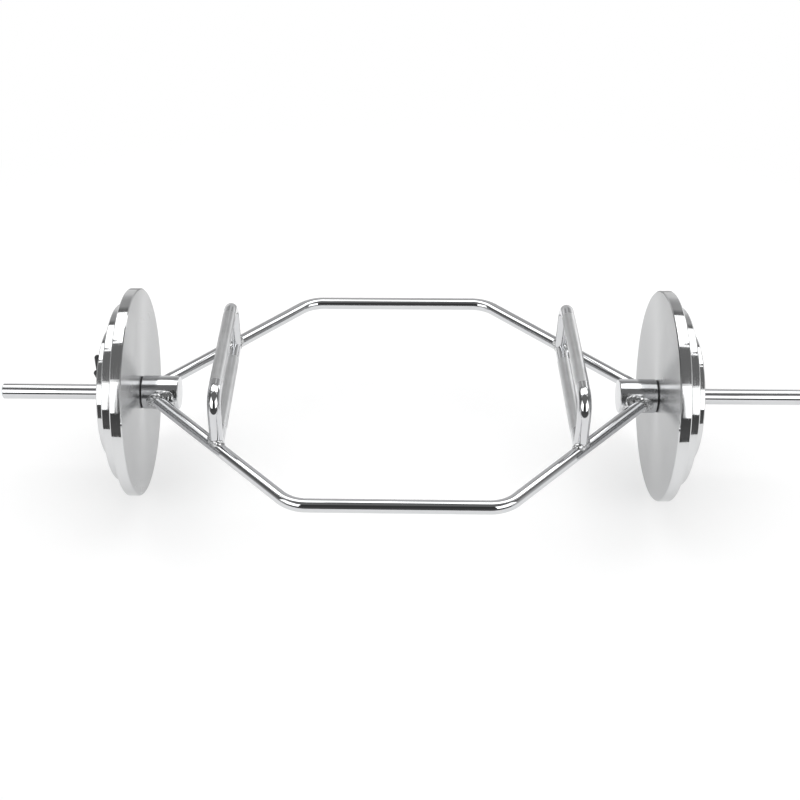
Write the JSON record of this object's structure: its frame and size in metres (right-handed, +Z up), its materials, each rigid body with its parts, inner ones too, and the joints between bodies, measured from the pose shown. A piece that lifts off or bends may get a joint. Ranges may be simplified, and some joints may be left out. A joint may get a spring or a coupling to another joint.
{
  "type": "hex trap bar",
  "caption": "Hexagonal chrome lifting bar with raised and flush knurled handles, hubs, loading sleeves, steel weight plates and spring collars.",
  "frame": {"origin": "on the floor, under the middle of the sleeve axis", "axes": "+X along the sleeves to the right, +Y to the rear, +Z up"},
  "size_m": [1.42, 0.627, 0.3719],
  "materials": {
    "polished_chrome": "polished chrome plate on steel, knurled matt on the grips",
    "weld_bead": "rippled weld metal under chrome plate",
    "plate_steel": "brushed satin faces, polished rims",
    "black_rubber": "matt black",
    "spring_wire": "plated spring wire",
    "black_vinyl": "dipped vinyl, soft sheen"
  },
  "bodies": {
    "frame": {"front_frame_bar": "polished_chrome", "rear_frame_bar": "polished_chrome", "left_hub": "polished_chrome", "left_sleeve": "polished_chrome", "left_raised_handle": "polished_chrome", "left_flush_handle": "polished_chrome", "left_hub_welds": "weld_bead", "left_handle_welds": "weld_bead", "right_hub": "polished_chrome", "right_sleeve": "polished_chrome", "right_raised_handle": "polished_chrome", "right_flush_handle": "polished_chrome", "right_hub_welds": "weld_bead", "right_handle_welds": "weld_bead"},
    "left_ring": {"left_stop_ring": "black_rubber"},
    "left_large": {"left_large_plate": "plate_steel"},
    "left_medium": {"left_medium_plate": "plate_steel"},
    "left_small": {"left_small_plate": "plate_steel"},
    "left_collar": {"left_collar_coil": "spring_wire", "left_collar_fixed_arm": "spring_wire", "left_collar_fixed_grip": "black_vinyl"},
    "left_lever": {"left_collar_free_arm": "spring_wire", "left_collar_free_grip": "black_vinyl"},
    "right_ring": {"right_stop_ring": "black_rubber"},
    "right_large": {"right_large_plate": "plate_steel"},
    "right_medium": {"right_medium_plate": "plate_steel"},
    "right_small": {"right_small_plate": "plate_steel"},
    "right_collar": {"right_collar_coil": "spring_wire", "right_collar_fixed_arm": "spring_wire", "right_collar_fixed_grip": "black_vinyl"},
    "right_lever": {"right_collar_free_arm": "spring_wire", "right_collar_free_grip": "black_vinyl"}
  },
  "joints": [
    {"name": "left_ring_slide", "type": "slide", "parent": "frame", "child": "left_ring", "axis": [-1, 0, 0], "range_m": [0, 0.26]},
    {"name": "left_plate_spin", "type": "hinge", "parent": "left_ring", "child": "left_large", "pos_m": [-0.4675, 0, 0.186], "axis": [-1, 0, 0], "continuous": true},
    {"name": "left_medium_slide", "type": "slide", "parent": "left_large", "child": "left_medium", "axis": [-1, 0, 0], "range_m": [0, 0.238]},
    {"name": "left_small_slide", "type": "slide", "parent": "left_medium", "child": "left_small", "axis": [-1, 0, 0], "range_m": [0, 0.218]},
    {"name": "left_collar_slide", "type": "slide", "parent": "left_small", "child": "left_collar", "axis": [-1, 0, 0], "range_m": [0, 0.2]},
    {"name": "left_collar_squeeze", "type": "hinge", "parent": "left_collar", "child": "left_lever", "pos_m": [-0.525, 0, 0.186], "axis": [-1, 0, 0], "range_deg": [0, 20], "stiffness_Nm_per_rad": 12, "deforming": ["left_collar_coil"]},
    {"name": "right_ring_slide", "type": "slide", "parent": "frame", "child": "right_ring", "axis": [1, 0, 0], "range_m": [0, 0.26]},
    {"name": "right_plate_spin", "type": "hinge", "parent": "right_ring", "child": "right_large", "pos_m": [0.4675, 0, 0.186], "axis": [1, 0, 0], "continuous": true},
    {"name": "right_medium_slide", "type": "slide", "parent": "right_large", "child": "right_medium", "axis": [1, 0, 0], "range_m": [0, 0.238]},
    {"name": "right_small_slide", "type": "slide", "parent": "right_medium", "child": "right_small", "axis": [1, 0, 0], "range_m": [0, 0.218]},
    {"name": "right_collar_slide", "type": "slide", "parent": "right_small", "child": "right_collar", "axis": [1, 0, 0], "range_m": [0, 0.2]},
    {"name": "right_collar_squeeze", "type": "hinge", "parent": "right_collar", "child": "right_lever", "pos_m": [0.525, 0, 0.186], "axis": [1, 0, 0], "range_deg": [0, 20], "stiffness_Nm_per_rad": 12, "deforming": ["right_collar_coil"]}
  ]
}
